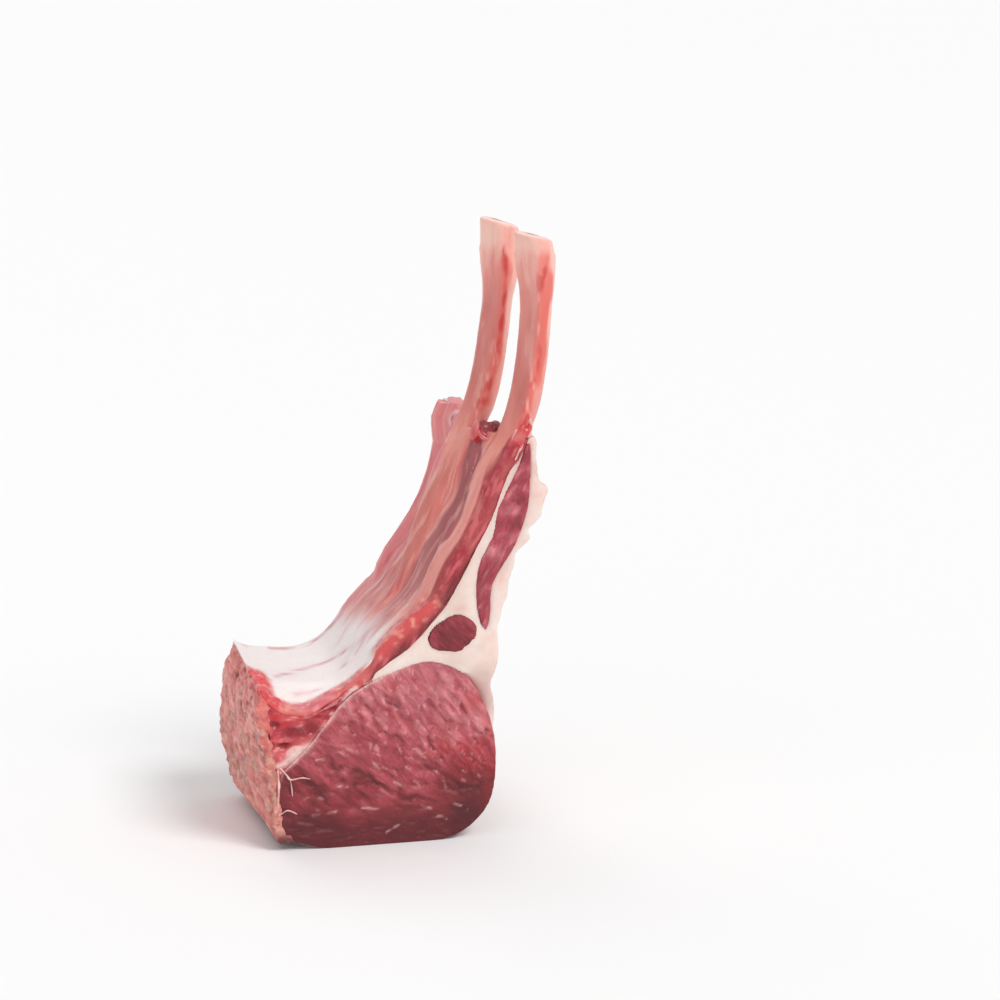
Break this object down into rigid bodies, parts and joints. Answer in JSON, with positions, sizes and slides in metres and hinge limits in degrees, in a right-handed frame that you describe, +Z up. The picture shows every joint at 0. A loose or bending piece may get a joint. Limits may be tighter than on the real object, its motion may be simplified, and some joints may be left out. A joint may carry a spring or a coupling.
{
  "type": "raw rack of lamb",
  "caption": "Short raw rack of lamb standing on its eye muscle: long bare frenched ribs, a rib sawn short, fat cover and sawn backbone side.",
  "frame": {"origin": "middle of the box at the underside, on the surface it stands on", "axes": "+Z up along the ribs, +Y from the front cut to the back cut along the backbone, +X from the sawn backbone side to the fat cover"},
  "size_m": [0.093, 0.057, 0.1812],
  "materials": {
    "eye_muscle": "moist raw lean, coarse fibres, fine pale marbling",
    "muscle": "moist raw lean",
    "fat": "firm creamy fat with a soft sheen",
    "lining": "moist white lining of the rib cage",
    "sawn_bone": "rough sawn bone with red marrow",
    "bone": "scraped damp bone with blood-red streaks"
  },
  "bodies": {
    "root": {"eye_muscle": "eye_muscle", "cap_muscle": "muscle", "strip_muscle": "muscle", "backbone_meat": "muscle", "rib_meat_0": "muscle", "rib_meat_1": "muscle", "rib_meat_2": "muscle", "rib_meat_3": "muscle", "fat_cover": "fat", "rib_lining": "lining", "chine_bone": "sawn_bone", "rib_1": "bone", "rib_2": "bone", "rib_3": "bone"}
  },
  "joints": []
}
